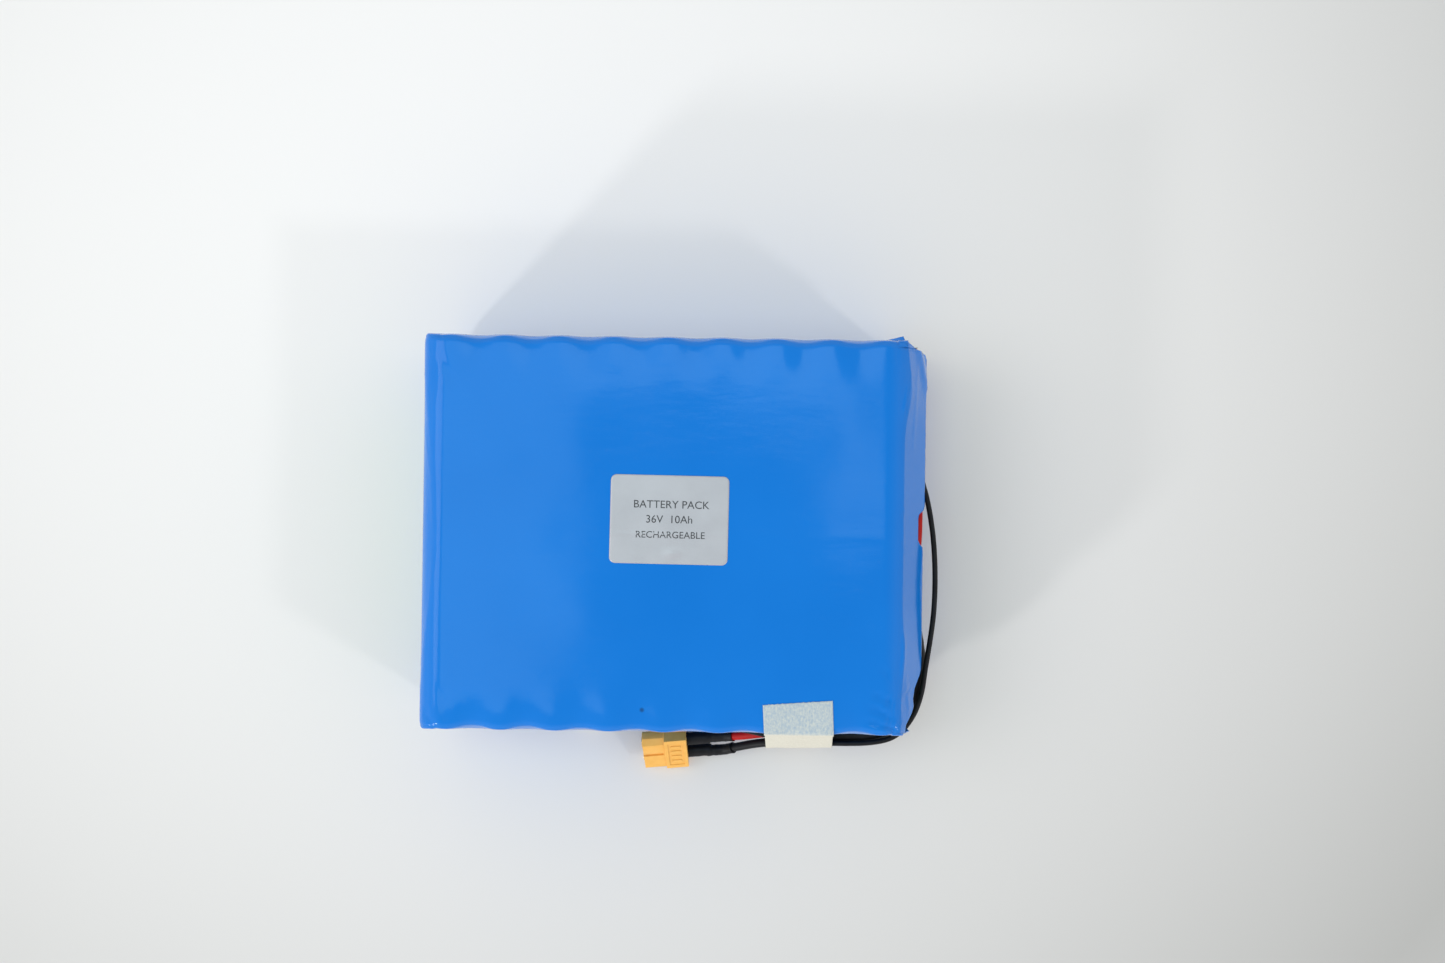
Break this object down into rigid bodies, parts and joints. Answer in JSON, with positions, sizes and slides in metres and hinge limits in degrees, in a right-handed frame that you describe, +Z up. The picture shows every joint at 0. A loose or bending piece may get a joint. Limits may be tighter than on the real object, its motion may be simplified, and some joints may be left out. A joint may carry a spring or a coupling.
{
  "type": "battery pack",
  "caption": "Flat rectangular pack of round cells in a blue heat-shrink sleeve, with power leads taped to one side that end in a two-pole bullet connector.",
  "frame": {"origin": "middle of the sleeve's underside, on the surface it rests on", "axes": "+X along the pack to the end where the leads come out, +Y across it away from the connector, +Z up"},
  "size_m": [0.1797, 0.1562, 0.0574],
  "materials": {
    "blue_film": "glossy PVC heat-shrink film",
    "silver_label": "satin silver-grey printed sticker",
    "crepe_tape": "creped masking paper",
    "yellow_nylon": "satin moulded nylon",
    "gold_plate": "gold-plated brass",
    "red_silicone": "soft silicone rubber",
    "black_silicone": "soft silicone rubber",
    "black_heat_shrink": "satin heat-shrink tubing",
    "cell_wrap": "steel can in a thin plastic wrap",
    "nickel": "spot-welded nickel strip",
    "insulator_paper": "thin insulating paper",
    "fibre_board": "epoxy glass board",
    "foam": "closed-cell foam",
    "circuit_board": "green solder mask",
    "chip_plastic": "moulded epoxy",
    "heatsink_aluminium": "extruded aluminium",
    "white_nylon": "moulded nylon",
    "wire_insulation": "thin wire insulation"
  },
  "bodies": {
    "root": {"balance_header": "white_nylon", "balance_leads": "wire_insulation", "bms_back_pad": "foam", "bms_board": "circuit_board", "bms_chips": "chip_plastic", "bms_divider": "fibre_board", "bms_front_pad": "foam", "bms_heatsink": "heatsink_aluminium", "bms_shunts": "nickel", "bms_switches": "chip_plastic", "bottom_board": "fibre_board", "cell_group_01": "cell_wrap", "cell_group_02": "cell_wrap", "cell_group_03": "cell_wrap", "cell_group_04": "cell_wrap", "cell_group_05": "cell_wrap", "cell_group_06": "cell_wrap", "cell_group_07": "cell_wrap", "cell_group_08": "cell_wrap", "cell_group_09": "cell_wrap", "cell_group_10": "cell_wrap", "centre_insulation": "insulator_paper", "connector_housing": "yellow_nylon", "label": "silver_label", "lead_sleeve": "black_heat_shrink", "left_board": "fibre_board", "masking_tape": "crepe_tape", "negative_boot": "black_heat_shrink", "negative_contact": "gold_plate", "negative_lead": "black_silicone", "negative_lead_inner": "black_silicone", "nickel_link_00": "nickel", "nickel_link_01": "nickel", "nickel_link_02": "nickel", "nickel_link_03": "nickel", "nickel_link_04": "nickel", "nickel_link_05": "nickel", "nickel_link_06": "nickel", "nickel_link_07": "nickel", "nickel_link_08": "nickel", "nickel_link_09": "nickel", "nickel_link_10": "nickel", "north_insulation": "insulator_paper", "positive_boot": "black_heat_shrink", "positive_contact": "gold_plate", "positive_lead": "red_silicone", "positive_lead_inner": "red_silicone", "sense_lead": "black_silicone", "sense_plug": "white_nylon", "shrink_sleeve": "blue_film", "south_insulation": "insulator_paper", "temperature_probe": "wire_insulation", "terminal_insulators": "insulator_paper", "top_board": "fibre_board"}
  },
  "joints": []
}
